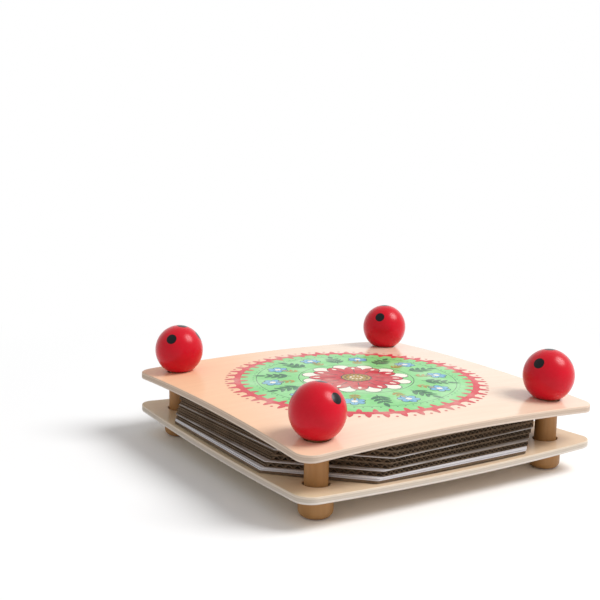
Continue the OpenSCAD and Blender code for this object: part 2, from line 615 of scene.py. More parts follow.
@dataclass(frozen=True)
class BallLacquer:
    """Thick gloss red lacquer with round black dots, painted at the attribute facing."""

    body: Colour = ink(206, 5, 34)
    deep: Colour = ink(193, 2, 25)
    dot: Colour = ink(3, 3, 6)
    dot_reach: float = 12.3
    dot_wobble: float = 0.003
    dot_blur: float = 0.0022
    relief_depth: float = 0.00004

    def dots(self, tree: Shader, dots_at: Sequence[tuple[float, float]]) -> Value:
        """Tell where the dots are.

        Args:
            tree: The material.
            dots_at: Latitude of each dot, and its azimuth about Z.

        Returns:
            One on a dot, else zero.
        """
        facing = tree.attribute("facing", "Vector")
        facing = tree.give("ShaderNodeVectorMath", {"operation": "NORMALIZE"}, {0: facing})
        wobble = (tree.noise(facing, 3.0, 2) - 0.5) * self.dot_wobble
        nearest: Number = -1.0
        for latitude, azimuth in dots_at:
            up, turn = math.radians(latitude), math.radians(azimuth)
            aim = (math.cos(up) * math.cos(turn), math.cos(up) * math.sin(turn), math.sin(up))
            near = tree.add("ShaderNodeVectorMath", {"operation": "DOT_PRODUCT"}, {0: facing, 1: aim})
            nearest = Value(tree, near.outputs["Value"]).most(nearest)
        rim = math.cos(math.radians(self.dot_reach))
        return (nearest + wobble).ease(rim - self.dot_blur, rim + self.dot_blur)

    def material(self, name: str, dots_at: Sequence[tuple[float, float]]) -> Material:
        """Make the finish of one ball.

        Args:
            name: Name of the material.
            dots_at: Latitude of each dot, and its azimuth about Z.

        Returns:
            The material.
        """
        tree = Shader(name)
        dots = self.dots(tree, dots_at)
        cloud = tree.noise(tree.place, 120, 2)
        peel = tree.noise(tree.place, 900, 2)
        base = tree.mix(cloud.ease(0.35, 0.7) * 0.5, self.body, self.deep)
        base = tree.mix(dots, base, self.dot)
        relief = peel * 0.5 + dots * 0.8
        return tree.close(Base_Color=base, Roughness=0.26 + peel * 0.04, IOR=1.1, Coat_Weight=0.9,
                          Coat_IOR=1.3, Coat_Roughness=0.26, Normal=tree.bump(relief, self.relief_depth))


@dataclass(frozen=True)
class CorrugatedBoard:
    """Matt brown corrugated card."""

    liner: Colour = ink(123, 102, 80)
    dark: Colour = ink(68, 53, 40)
    relief_depth: float = 0.00006

    def material(self) -> Material:
        """Make the finish.

        Returns:
            The material.
        """
        tree = Shader("corrugated_card")
        fibres = tree.grain((1.0, 0.5, 2.0), 1400, 4, 0.65)
        blotch = tree.noise(tree.place, 90, 3)
        tone = (fibres.ease(0.35, 0.75) * 0.6 + blotch.ease(0.35, 0.8) * 0.4).least(1.0)
        base = tree.mix(tone, self.liner, self.dark)
        return tree.close(Base_Color=base, Roughness=0.82 + fibres * 0.12, IOR=1.4,
                          Normal=tree.bump(fibres, self.relief_depth))


@dataclass(frozen=True)
class BlottingPaper:
    """Soft matt white paper, whose rim above a height carries painted shade in patches."""

    sheet: Colour = ink(218, 215, 218)
    shade: Colour = ink(194, 192, 197)
    # Painted shade on the rims of the upper sheets.
    painted_rim_shade: Colour = ink(122, 108, 95)
    unshaded_below: float = 0.0185
    shaded_above: float = 0.0205
    rim_from: float = 0.077
    rim_full: float = 0.082
    corner_cut: float = 0.0461
    relief_depth: float = 0.00004

    def material(self) -> Material:
        """Make the finish.

        Returns:
            The material.
        """
        tree = Shader("soft_paper")
        fibres = tree.noise(tree.place, 2400, 3, 0.6)
        blotch = tree.noise(tree.place, 60, 2)
        tone = (fibres.ease(0.4, 0.75) * 0.5 + blotch.ease(0.4, 0.8) * 0.3).least(1.0)
        x, y, height = tree.split(tree.place)
        reach = abs(x).most(abs(y)).most(abs(x) + abs(y) - self.corner_cut)
        rim = reach.ease(self.rim_from, self.rim_full)
        patch = tree.noise(tree.place, 30, 2).ease(0.4, 0.6)
        # Painted shade: above a height, where sheets lie between cards, the rim darkens in patches,
        # standing in for the shade of the cards around it.
        rim_shade_share = height.ease(self.unshaded_below, self.shaded_above) * rim * (0.3 + patch * 0.5)
        base = tree.mix(tone, self.sheet, self.shade)
        base = tree.mix(rim_shade_share, base, self.painted_rim_shade)
        return tree.close(Base_Color=base, Roughness=0.9 + fibres * 0.08, IOR=1.35,
                          Normal=tree.bump(fibres, self.relief_depth))


@dataclass(frozen=True)
class PrintedInk:
    """Watercolour-like print under the board's lacquer, coloured by the attribute ink."""

    thin_wash: Colour = ink(232, 250, 226)
    speck: Colour = ink(250, 240, 214)

    def material(self) -> Material:
        """Make the finish.

        Returns:
            The material.
        """
        tree = Shader("printed_ink")
        colour = tree.attribute("ink", "Color")
        wash = tree.noise(tree.place, 46, 5, 0.62)
        specks = tree.noise(tree.place, 620, 3, 0.6)
        base = tree.mix(wash.ease(0.42, 0.72) * 0.28, colour, self.thin_wash)
        base = tree.mix((1 - wash).ease(0.48, 0.74) * 0.22, base, colour, "MULTIPLY")
        base = tree.mix(specks.ease(0.55, 0.8) * 0.12, base, self.speck)
        return tree.close(Base_Color=base, Roughness=0.45 + specks * 0.08, IOR=1.2, Coat_Weight=0.36,
                          Coat_Roughness=0.1)


# Boards


class Bow(Enum):
    """Which way a board's middle stands."""

    UP = 1
    DOWN = -1


@dataclass
class Skin:
    """A board's surface as it grows: points, each with a normal, a ply and a side."""

    points: list[np.ndarray] = field(default_factory=list)
    normals: list[np.ndarray] = field(default_factory=list)
    ply: list[np.ndarray] = field(default_factory=list)
    side: list[np.ndarray] = field(default_factory=list)
    faces: list[Sequence[int]] = field(default_factory=list)

    def add(self, points: np.ndarray, normals: np.ndarray, ply: np.ndarray | float,
            side: float) -> np.ndarray:
        """Add points.

        Args:
            points: Their places.
            normals: Their outward directions, of any length.
            ply: Height through the board, zero at the hollow face and one at the domed one.
            side: Zero on a face and one on a wall.

        Returns:
            Their indices.
        """
        start, count = sum(len(part) for part in self.points), len(points)
        self.points.append(points)
        self.normals.append(normals / np.linalg.norm(normals, axis=1)[:, None])
        self.ply.append(np.full(count, ply))
        self.side.append(np.full(count, side))
        return np.arange(start, start + count)


@dataclass(frozen=True)
class Board:
    """Bowed plywood board with rounded corners and a clearance hole for each bolt.

    Both faces are parts of spheres that share a centre, and the walls stand upright. The board
    is made with its middle up and its hollow face's pole at the origin. It is then turned over
    in a mirror where its middle hangs down, and put in place. Its plan is a grid of cells. The
    margin between the grid and a rim, and the rim's density along a side, are counted in cells.
    """

    node: str
    body: str
    bow: Bow
    rise: float
    width: float = 0.180
    thickness: float = 0.0037
    corner: float = 0.0085
    corner_steps: int = 16
    hole: float = 0.0064
    hole_steps: int = 48
    ease: float = 0.0005
    ease_steps: int = 4
    cell: float = 0.004
    rim_density: float = 1.6
    margin: float = 0.55

    @property
    def hollow_radius(self) -> float:
        """Radius of the hollow face's sphere."""
        radius = (self.width ** 2 / 2 + self.rise ** 2) / (2 * self.rise)
        return radius if self.bow is Bow.UP else radius - self.thickness

    @property
    def hollow_pole(self) -> float:
        """Height of the hollow face's middle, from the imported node."""
        if self.bow is Bow.UP:
            return top_of(self.node) - self.thickness
        return bottom_of(self.node) + self.thickness

    def hollow_height(self, x: float, y: float) -> float:
        """Give the height of the hollow face at x and y."""
        fall = self.hollow_radius - math.sqrt(self.hollow_radius ** 2 - x ** 2 - y ** 2)
        return self.hollow_pole - self.bow.value * fall

    def face(self, x: np.ndarray, y: np.ndarray, domed: bool) -> tuple[np.ndarray, np.ndarray]:
        """Give the domed face or the hollow one.

        Args:
            x: Places along X.
            y: Places along Y.
            domed: Whether it is the domed face.

        Returns:
            Its height at each place, and its outward normal there.
        """
        radius = self.hollow_radius + domed * self.thickness
        reach = np.sqrt(radius ** 2 - x ** 2 - y ** 2)
        normals = np.stack([x, y, reach], 1) / radius
        return reach - self.hollow_radius, normals if domed else -normals

    def from_bolt(self, x: np.ndarray, y: np.ndarray) -> np.ndarray:
        """Give how far x and y are from the nearest bolt's middle."""
        return np.hypot(abs(x) - BOLT_OFFSET, abs(y) - BOLT_OFFSET)

    def outline(self) -> tuple[np.ndarray, np.ndarray]:
        """Give the wall's outline, anticlockwise.

        Returns:
            Its points, and at each the direction that leads away from the wood.
        """
        flat = self.width / 2 - self.corner
        along = math.ceil(2 * flat / self.cell * self.rim_density)
        points: list[tuple[float, float]] = []
        away: list[tuple[float, float]] = []
        for quarter in range(4):
            start = 90.0 * quarter
            middle = math.radians(start + 45)
            centre = (flat * math.sqrt(2) * math.cos(middle), flat * math.sqrt(2) * math.sin(middle))
            bend = arc(centre, self.corner, start, start + 90, self.corner_steps)
            points += bend
            away += [((x - centre[0]) / self.corner, (y - centre[1]) / self.corner) for x, y in bend]
            turn = math.radians(start + 90)
            side = (math.cos(turn), math.sin(turn))
            onward = (-side[1], side[0])
            for step in range(1, along):
                run = 2 * flat * step / along
                points.append((bend[-1][0] + onward[0] * run, bend[-1][1] + onward[1] * run))
                away.append(side)
        return np.array(points), np.array(away)

    def holes(self) -> list[tuple[np.ndarray, np.ndarray]]:
        """Give the walls of the four holes.

        Returns:
            For each hole its points, clockwise, and the directions away from the wood.
        """
        ring = np.array(arc((0.0, 0.0), 1.0, 0, -360, self.hole_steps)[:-1])
        centres = [(x, y) for x in (-BOLT_OFFSET, BOLT_OFFSET) for y in (-BOLT_OFFSET, BOLT_OFFSET)]
        return [(ring * self.hole + centre, -ring) for centre in centres]

    def plan(self, rims: Sequence[np.ndarray]) -> tuple[np.ndarray, list[tuple[int, ...]]]:
        """Cut the board's plan into faces, over an even grid of points inside its rims.

        Args:
            rims: The closed rims of the faces.

        Returns:
            The plan's points, which start with the rims, and its faces.
        """
        flat = self.width / 2 - self.corner
        gap = self.cell * self.margin
        line = np.arange(-self.width / 2, self.width / 2, self.cell) + self.cell / 2
        x, y = (axis.ravel() for axis in np.meshgrid(line, line))
        beyond = np.hypot(np.maximum(abs(x) - flat, 0), np.maximum(abs(y) - flat, 0))
        keep = (beyond < self.corner - gap) & (self.from_bolt(x, y) > self.hole + gap)
        edges: list[tuple[int, int]] = []
        for rim in rims:
            start = len(edges)
            edges += [(start + i, start + (i + 1) % len(rim)) for i in range(len(rim))]
        plan = np.concatenate([*rims, np.stack([x, y], 1)[keep]])
        inside_only, nearness = 1, 1e-8
        corners = [Vector(point) for point in plan]
        found, _, faces, *_ = delaunay_2d_cdt(corners, edges, [], inside_only, nearness)
        assert len(found) == len(plan)
        plan = np.array([tuple(point) for point in found])
        middles = np.array([plan[list(face)].mean(0) for face in faces])
        solid = self.from_bolt(middles[:, 0], middles[:, 1]) > self.hole + self.ease
        return plan, [tuple(face) for face, kept in zip(faces, solid) if kept]

    def add_wall(self, skin: Skin, wall: np.ndarray, away: np.ndarray, start: int) -> None:
        """Add a wall with its two eased edges, from the domed face to the hollow one.

        Args:
            skin: The surface, which has both faces already.
            wall: Points of the wall's outline.
            away: The direction at each that leads away from the wood.
            start: Index of the wall's rim on the domed face.
        """
        rim = np.arange(start, start + len(wall))
        outward = np.column_stack([away, np.zeros(len(wall))])
        turns = [math.pi / 2 * step / self.ease_steps for step in range(1, self.ease_steps + 1)]
        rows = [rim]
        for domed, turn in [(True, turn) for turn in turns] + [(False, turn) for turn in turns[::-1]]:
            x, y = (wall - away * self.ease * (1 - math.sin(turn))).T
            high, low = self.face(x, y, True)[0], self.face(x, y, False)[0]
            fall = self.ease * (1 - math.cos(turn))
            z = high - fall if domed else low + fall
            facing = skin.normals[0 if domed else 1][rim]
            lean = facing * math.cos(turn) + outward * math.sin(turn)
            share = (z - low) / (high - low)
            rows.append(skin.add(np.column_stack([x, y, z]), lean, share, math.sin(turn)))
        rows.append(rim + len(skin.points[0]))
        for row, below in zip(rows, rows[1:]):
            ring = np.column_stack([row, below, np.roll(below, -1), np.roll(row, -1)])
            skin.faces += ring.tolist()

    def build(self, material: Material) -> Piece:
        """Make the board and put it in the place of its node.

        Args:
            material: Its finish.

        Returns:
            The piece.
        """
        walls = [self.outline()] + self.holes()
        plan, faces = self.plan([wall - away * self.ease for wall, away in walls])
        x, y = plan.T
        skin = Skin()
        for domed in (True, False):
            height, normals = self.face(x, y, domed)
            skin.add(np.column_stack([x, y, height]), normals, float(domed), 0.0)
        skin.faces = faces + [tuple(len(plan) + i for i in reversed(face)) for face in faces]
        start = 0
        for wall, away in walls:
            self.add_wall(skin, wall, away, start)
            start += len(wall)
        place, lean = np.concatenate(skin.points), np.concatenate(skin.normals)
        if self.bow is Bow.DOWN:
            place[:, 2] *= -1
            lean[:, 2] *= -1
            skin.faces = [tuple(reversed(face)) for face in skin.faces]
        place[:, 2] += self.hollow_pole
        piece = plain_piece(self.node + "_ply", place.tolist(), skin.faces, material)
        keep_number(piece.data, "ply", np.concatenate(skin.ply))
        keep_number(piece.data, "side", np.concatenate(skin.side))
        piece.data.normals_split_custom_set_from_vertices(lean.tolist())
        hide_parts(self.node)
        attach(piece, self.body)
        log.info("%s: %d points, %d faces", piece.name, len(place), len(skin.faces))
        return piece


# Bolts and nuts


@dataclass(frozen=True)
class Corner:
    """One corner of the press: its bolt and its ball nut, with the places of the nut's dots.

    The top dot has a latitude and an azimuth, and the side dots share one latitude.
    """

    name: str
    x: float
    y: float
    top_dot: tuple[float, float]
    side_dots: tuple[float, float, float]
    side_latitude: float = 37.0

    @property
    def dots_at(self) -> list[tuple[float, float]]:
        """Latitude and azimuth of every dot."""
        return [self.top_dot] + [(self.side_latitude, azimuth) for azimuth in self.side_dots]


@dataclass(frozen=True)
class Bolt:
    """Turned bolt: a foot with a rounded lower edge, a smooth shank and a coarse thread.

    The thread's groove is flat at its root, and reaches its full depth over the run-in, which
    is a share of a turn.
    """

    thread_start: float
    tip: float = top_of("bolt_front")
    tip_chamfer: float = 0.0012
    tip_steps: int = 4
    foot_radius: float = 0.00825
    foot_height: float = 0.0112
    foot_round: float = 0.0034
    foot_steps: int = 8
    shank_radius: float = 0.0057
    thread_radius: float = 0.0054
    thread_depth: float = 0.0009
    lead: float = 0.003
    groove_width: float = 1.35
    groove_slope: float = 3.4
    run_in: float = 0.5
    ease: float = 0.0003
    ease_steps: int = 3
    steps: int = 48
    rows_per_turn: int = 14
    hard_edge: float = 40.0

    def reach(self, radius: float, height: float, angle: float) -> float:
        """Give the radius where the thread is cut into the rod.

        Args:
            radius: The rod's own radius there.
            height: Height above the ground.
            angle: Angle about the bolt, in radians.

        Returns:
            The radius of the crest, flank or root.
        """
        nearness = 1e-6
        if height <= self.thread_start + nearness or radius > self.thread_radius + nearness:
            return radius
        turns = (height - self.thread_start) / self.lead
        phase = (turns - angle / (2 * math.pi)) % 1.0
        groove = min(1.0, max(0.0, self.groove_width - self.groove_slope * abs(phase - 0.5)))
        fade = min(1.0, turns / self.run_in)
        return min(radius, self.thread_radius - self.thread_depth * groove * fade)

    def profile(self) -> list[tuple[float, float]]:
        """Give the bolt's outline.

        Returns:
            Radius and height of each ring, from below to the tip.
        """
        foot = (self.foot_radius - self.foot_round, self.foot_round)
        shoulder = (self.foot_radius - self.ease, self.foot_height - self.ease)
        rings = [(0.0, 0.0)]
        rings += arc(foot, self.foot_round, -90, 0, self.foot_steps)
        rings += arc(shoulder, self.ease, 0, 90, self.ease_steps)
        rings.append((self.shank_radius, self.foot_height))
        rings.append((self.shank_radius, self.thread_start - self.ease))
        length = self.tip - self.tip_chamfer - self.thread_start
        rows = math.ceil(length / self.lead * self.rows_per_turn)
        for row in range(rows + 1):
            rings.append((self.thread_radius, self.thread_start + length * row / rows))
        for step in range(1, self.tip_steps + 1):
            run = self.tip_chamfer * step / self.tip_steps
            rings.append((self.thread_radius - run, self.tip - self.tip_chamfer + run))
        return rings + [(0.0, self.tip)]

    def build(self, corner: Corner, material: Material) -> Piece:
        """Make the bolt of one corner.

        Args:
            corner: Where it stands.
            material: Its finish.

        Returns:
            The piece.
        """
        points, faces = turned(self.profile(), self.steps, self.reach)
        placed = [(x + corner.x, y + corner.y, z) for x, y, z in points]
        piece = plain_piece("bolt_%s_turned" % corner.name, placed, faces, material)
        crease(piece.data, self.hard_edge)
        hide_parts("bolt_" + corner.name)
        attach(piece, "base")
        log.info("%s: %d faces", piece.name, len(faces))
        return piece


@dataclass(frozen=True)
class BallNut:
    """Turned ball, a little wider than high, with a flat below and a blind bore.

    Its outline is an ellipse, cut off by the flat, and starts a little above the flat's rim.
    """

    flat_height: float = bottom_of("nut_front")
    height: float = 0.0256
    half_width: float = 0.0134
    flat_radius: float = 0.0072
    rim_turn: float = 1.2
    bore_radius: float = 0.00546
    bore_depth: float = 0.0196
    ease: float = 0.00025
    steps: int = 96
    rings: int = 56
    hard_edge: float = 35.0

    @property
    def half_height(self) -> float:
        """Half the height of the whole ellipse, which is as wide as the flat where it is cut."""
        return self.height / (1 + math.sqrt(1 - (self.flat_radius / self.half_width) ** 2))

    @property
    def middle(self) -> float:
        """Height of the ellipse's middle above the flat."""
        return self.height - self.half_height

    def profile(self) -> list[tuple[float, float]]:
        """Give the nut's outline.

        Returns:
            Radius and height of each ring, from the bore's ceiling round the outside to the pole.
        """
        rings = [(0.0, self.bore_depth), (self.bore_radius, self.bore_depth)]
        rings.append((self.bore_radius, 2 * self.ease))
        rings.append((self.bore_radius + 2 * self.ease, 0.0))
        rings.append((self.flat_radius - self.ease, 0.0))
        low = self.rim_turn - math.degrees(math.asin(self.middle / self.half_height))
        for ring in range(self.rings):
            turn = math.radians(low + (90 - low) * ring / self.rings)
            height = self.middle + self.half_height * math.sin(turn)
            rings.append((self.half_width * math.cos(turn), height))
        return rings + [(0.0, self.height)]

    def build(self, corner: Corner, finish: BallLacquer) -> Piece:
        """Make the nut of one corner.

        Args:
            corner: Where it sits, and where its dots are.
            finish: Its lacquer.

        Returns:
            The piece.
        """
        points, faces = turned(self.profile(), self.steps)
        placed = [(x + corner.x, y + corner.y, z + self.flat_height) for x, y, z in points]
        material = finish.material("ball_lacquer_" + corner.name, corner.dots_at)
        piece = plain_piece("nut_%s_ball" % corner.name, placed, faces, material)
        keep_vectors(piece.data, "facing", [(x, y, z - self.middle) for x, y, z in points])
        crease(piece.data, self.hard_edge)
        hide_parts("nut_" + corner.name)
        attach(piece, "nut_" + corner.name)
        log.info("%s: %d faces", piece.name, len(faces))
        return piece


# Stack


class Stock(Enum):
    """What a sheet of the stack is cut from."""

    WAVED = "waved_card"
    PLAIN = "plain_card"
    PAPER = "paper"


@dataclass(frozen=True)
class Sheet:
    """One sheet: its name, its stock, and its lie as shares of the play and of the turn."""

    name: str
    stock: Stock
    x: float
    y: float
    turn: float


@dataclass(frozen=True)
class Stack:
    """Square sheets with their corners cut off: cards and papers, from the lowest up.

    Each sheet leaves a little air in its room, above and below. A waved card's wave shows
    through its two liners. The noise of the ragged edges has a density along an edge, and a
    step in it from side to side and from sheet to sheet.
    """

    base: float = bottom_of("card_1")
    half_width: float = 0.0855
    clear: float = 0.0088
    waved: float = 0.0026
    plain: float = 0.0013
    paper: float = 0.0005
    liner: float = 0.00035
    wave: float = 0.0003
    pitch: float = 0.003
    waved_steps: int = 516
    flat_steps: int = 172
    show_through: float = 0.02
    play: float = 0.0024
    turn: float = 3.2
    air: float = 0.00003
    ragged_card: float = 0.00012
    ragged_paper: float = 0.00004
    rag_density: float = 800.0
    rag_side_step: float = 15.0
    rag_sheet_step: float = 5.0
    sheets: tuple[Sheet, ...] = (
        Sheet("card_1", Stock.PLAIN, -0.85, -0.5, 0.0),
        Sheet("paper_1", Stock.PAPER, -0.8, -0.55, 0.02),
        Sheet("paper_2", Stock.PAPER, -0.65, -0.45, 0.1),
        Sheet("paper_3", Stock.PAPER, -0.78, -0.6, 0.06),
        Sheet("card_2", Stock.WAVED, -0.35, -0.1, 0.4),
        Sheet("paper_4", Stock.PAPER, -0.45, -0.15, 0.45),
        Sheet("card_3", Stock.WAVED, 0.2, 0.5, 0.85),
        Sheet("card_4", Stock.WAVED, 0.4, 0.3, 0.9),
        Sheet("paper_5", Stock.PAPER, 0.5, -0.1, 0.95),
        Sheet("card_5", Stock.WAVED, 0.8, 0.1, 1.0),
        Sheet("card_6", Stock.WAVED, 0.6, 0.2, 1.0),
        Sheet("card_7", Stock.PLAIN, 0.4, -0.1, 0.95),
    )

    @property
    def half_edge(self) -> float:
        """Half the length of a side, once its corners are cut off clear of the bolts."""
        return 2 * BOLT_OFFSET - self.clear * math.sqrt(2) - self.half_width

    def layer(self, tree: Recipe, middle: Number, deep: Number, swing: Number) -> Socket:
        """Cut one layer of a sheet.

        Args:
            tree: The stock's tree.
            middle: Height of the layer's middle above the sheet's underside.
            deep: Its thickness.
            swing: How far its waves rise above its middle.

        Returns:
            The layer, in the middle of the stack.
        """
        block = tree.give("GeometryNodeMeshCube", None, {
            "Size": (2.0, 2.0, 1.0), "Vertices X": tree.size("Steps"), "Vertices Y": 2, "Vertices Z": 2})
        x, y, z = tree.here()
        half = tree.size("Half Width")
        along = x * half
        spot = tree.vector(along * self.rag_density, y * self.rag_side_step,
                           tree.size("Seed") * self.rag_sheet_step)
        rough = tree.noise(spot, 1.0, 3) * tree.size("Ragged")
        across = half.least(half + tree.size("Half Edge") - abs(along)) - rough
        crest = (along * (2 * math.pi) / tree.size("Wave Pitch")).sine() * swing
        return tree.place_at(block, along, y * across, middle + crest + z * deep)

    def recipe(self, stock: Stock, material: Material) -> Recipe:
        """Make the tree that cuts one stock.

        Args:
            stock: What it cuts.
            material: The stock's finish.

        Returns:
            The tree, with the sheet's lie among its inputs.
        """
        tree = Recipe("cut_" + stock.value, {
            "Half Width": self.half_width, "Half Edge": self.half_edge, "Thickness": self.waved,
            "Liner": self.liner, "Wave": self.wave, "Wave Pitch": self.pitch, "Steps": self.waved_steps,
            "Height": self.base, "Shift X": 0.0, "Shift Y": 0.0, "Turn": 0.0,
            "Ragged": self.ragged_card, "Seed": 1,
        })
        thickness, liner, wave = (tree.size(label) for label in ("Thickness", "Liner", "Wave"))
        if stock is Stock.WAVED:
            swing = (thickness - 2 * liner - wave) * 0.5
            whole = tree.join(
                self.layer(tree, liner * 0.5, liner, swing * -self.show_through),
                self.layer(tree, thickness * 0.5, wave, swing),
                self.layer(tree, thickness - liner * 0.5, liner, swing * self.show_through))
        else:
            whole = self.layer(tree, thickness * 0.5, thickness, 0.0)
        x, y, z = tree.here()
        turn = tree.size("Turn")
        whole = tree.place_at(whole, x * turn.cosine() - y * turn.sine() + tree.size("Shift X"),
                              x * turn.sine() + y * turn.cosine() + tree.size("Shift Y"),
                              z + tree.size("Height"))
        tree.close(whole, material)
        return tree

    def build(self, finishes: dict[Stock, Material]) -> list[Piece]:
        """Make every sheet.

        Args:
            finishes: The finish of each stock.

        Returns:
            The pieces, from the lowest up.
        """
        recipes = {stock: self.recipe(stock, finishes[stock]) for stock in Stock}
        thicknesses = {Stock.WAVED: self.waved, Stock.PLAIN: self.plain, Stock.PAPER: self.paper}
        height = self.base
        pieces = []
        for number, sheet in enumerate(self.sheets, 1):
            thickness = thicknesses[sheet.stock]
            piece = recipes[sheet.stock].make(sheet.name + "_cut", {
                "Thickness": thickness - 2 * self.air, "Height": height + self.air,
                "Shift X": self.play * sheet.x, "Shift Y": self.play * sheet.y,
                "Turn": math.radians(self.turn * sheet.turn), "Seed": number,
                "Ragged": self.ragged_paper if sheet.stock is Stock.PAPER else self.ragged_card,
                "Steps": self.waved_steps if sheet.stock is Stock.WAVED else self.flat_steps})
            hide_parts(sheet.name)
            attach(piece, sheet.name)
            height += thickness
            pieces.append(piece)
            log.info("%s: %d faces", piece.name, len(piece.data.polygons))
        return pieces


# Print


class Ink(Enum):
    """Colours of the print."""

    MINT = ink(135, 211, 134)
    CORAL = ink(214, 54, 70)
    RED = ink(200, 26, 48)
    CREAM = ink(250, 240, 226)
    BLUE = ink(110, 176, 214)
    OCHRE = ink(176, 138, 52)
    LEAF = ink(52, 110, 76)
    LINE = ink(36, 44, 48)


@dataclass(frozen=True)
class Blade:
    """Petal, leaf or drop: its length and width, and how far its end narrows.

    An end that narrows by less than nothing widens. In a ring, the root stands off the centre,
    or the edge that the ring goes round.
    """

    length: float
    width: float
    tip: float
    root: float = 0.0


class Drawing(Recipe):
    """Recipe for flat motifs in inks, printed in thin layers. A motif points along X."""

    ring_points: int = 193
    blade_points: int = 14
    stroke_points: int = 8
    stroke_taper: float = 0.55
    leaf_shrink: float = 0.1
    weld: float = 1e-6

    def __init__(self, name: str, inputs: dict[str, float | int], layer: float) -> None:
        """Start a drawing whose layers are so far apart."""
        super().__init__(name, inputs)
        self.layer = layer

    def inked(self, geometry: Socket, colour: Ink, layer: int) -> Socket:
        """Give a motif its ink and its layer of the print.

        Args:
            geometry: The motif.
            colour: Its ink.
            layer: Number of the layer, from the lowest up.

        Returns:
            The printed motif.
        """
        settings = {"data_type": "FLOAT_COLOR", "domain": "POINT"}
        sockets = {"Geometry": geometry, "Name": "ink", "Value": colour.value}
        stored = self.give("GeometryNodeStoreNamedAttribute", settings, sockets)
        return self.move(stored, (0, 0, self.layer * layer))

    def grid(self, columns: int, rows: int) -> Socket:
        """Draw a square of side one with so many points each way."""
        sockets = {"Size X": 1.0, "Size Y": 1.0, "Vertices X": columns, "Vertices Y": rows}
        return self.give("GeometryNodeMeshGrid", None, sockets)

    def spot(self, radius: Number, points: Number = 12, fill: str = "NGON") -> Socket:
        """Draw a round spot at the origin, or only its rim where the fill is NONE."""
        sockets = {"Vertices": points, "Radius": radius}
        return self.give("GeometryNodeMeshCircle", {"fill_type": fill}, sockets)

    def washer(self, low: Number, high: Number, ripples: float = 0.0, depth: float = 0.0,
               rows: int = 2) -> Socket:
        """Draw a ring, whose outer edge may ripple.

        Args:
            low: Its inner radius.
            high: Its outer radius.
            ripples: Number of ripples round it.
            depth: How far they reach.
            rows: Points across the ring.

        Returns:
            The ring.
        """
        square = self.grid(self.ring_points, rows)
        x, y, _ = self.here()
        angle = (x + 0.5) * (-2 * math.pi)
        far = (angle * ripples).cosine() * depth + high
        radius = low + (y + 0.5) * (far - low)
        bent = self.place_at(square, radius * angle.cosine(), radius * angle.sine(), 0.0)
        return self.give("GeometryNodeMergeByDistance", None, {"Geometry": bent, "Distance": self.weld})

    def blade(self, shape: Blade) -> Socket:
        """Draw a blade from the origin along X.

        Args:
            shape: Its size.

        Returns:
            The blade.
        """
        disc = self.spot(1.0, self.blade_points)
        x, y, _ = self.here()
        share = (x + 1) * 0.5
        wide = 1 - (share - 0.5) * (2 * shape.tip)
        return self.place_at(disc, share * shape.length, y * wide * (shape.width / 2), 0.0)

    def stroke(self, length: float, width: float) -> Socket:
        """Draw a thin line from the origin along X.

        Args:
            length: Its length.
            width: Its width at the origin.

        Returns:
            The line, which thins towards its end.
        """
        square = self.grid(self.stroke_points, 2)
        x, y, _ = self.here()
        share = x + 0.5
        return self.place_at(square, share * length, y * width * (1 - share * self.stroke_taper), 0.0)

    def around(self, geometry: Socket, count: Number, radius: Number, start: float = 0.0,
               turn: float = 0.0) -> Socket:
        """Repeat a motif about the centre.

        Args:
            geometry: The motif.
            count: How often it is repeated.
            radius: Distance of its root from the centre.
            start: Angle of the first one.
            turn: How far each is turned about its own root.

        Returns:
            The instances.
        """
        spots = self.spot(radius, count, "NONE")
        x, y, _ = self.here()
        outward = x.maths("ARCTAN2", y, x) + math.radians(turn)
        sockets = {"Points": spots, "Instance": geometry, "Rotation": self.vector(0.0, 0.0, outward)}
        return self.move(self.give("GeometryNodeInstanceOnPoints", None, sockets), turn=start)

    def along(self, geometry: Socket, count: int, first: float, step: float, turn: float) -> Socket:
        """Repeat a leaf along a stem, each a little smaller than the last.

        Args:
            geometry: The leaf.
            count: How often it is repeated.
            first: Distance of the first one's root along the stem.
            step: Distance from each to the next.
            turn: How far each is turned to one side.

        Returns:
            The instances.
        """
        places = {"Count": count, "Start Location": (first, 0.0, 0.0), "Offset": (step, 0.0, 0.0)}
        line = self.give("GeometryNodeMeshLine", None, places)
        scale = 1 - self.value("GeometryNodeInputIndex") * self.leaf_shrink
        return self.give("GeometryNodeInstanceOnPoints", None, {
            "Points": line, "Instance": geometry, "Rotation": (0.0, 0.0, math.radians(turn)),
            "Scale": self.vector(scale, scale, scale)})

    def petals(self, shape: Blade, count: Number, colour: Ink, layer: int, start: float = 0.0,
               turn: float = 0.0, edge: Number = 0.0) -> Socket:
        """Print a ring of blades about the centre, or round an edge of that radius."""
        ring = self.around(self.blade(shape), count, edge + shape.root, start, turn)
        return self.inked(ring, colour, layer)

    def beads(self, size: float, count: Number, radius: Number, colour: Ink, layer: int,
              start: float = 0.0, points: int = 8) -> Socket:
        """Print a ring of round spots of that size."""
        return self.inked(self.around(self.spot(size, points), count, radius, start), colour, layer)

    def flower(self, petals: int, length: float, width: float, layer: int) -> Socket:
        """Print a small open blue flower with a vein on each petal.

        Args:
            petals: Number of petals.
            length: Their length.
            width: Their width.
            layer: Number of its lowest layer.

        Returns:
            The flower.
        """
        rim = Blade(length * 1.12, width * 1.24, -0.2, length * 0.12)
        petal = Blade(length, width, -0.2, length * 0.16)
        veins = self.around(self.stroke(length * 0.5, length * 0.06), petals, length * 0.3)
        return self.join(
            self.petals(rim, petals, Ink.LINE, layer),
            self.petals(petal, petals, Ink.BLUE, layer + 1),
            self.inked(veins, Ink.LINE, layer + 2),
            self.inked(self.spot(length * 0.34), Ink.CREAM, layer + 3))

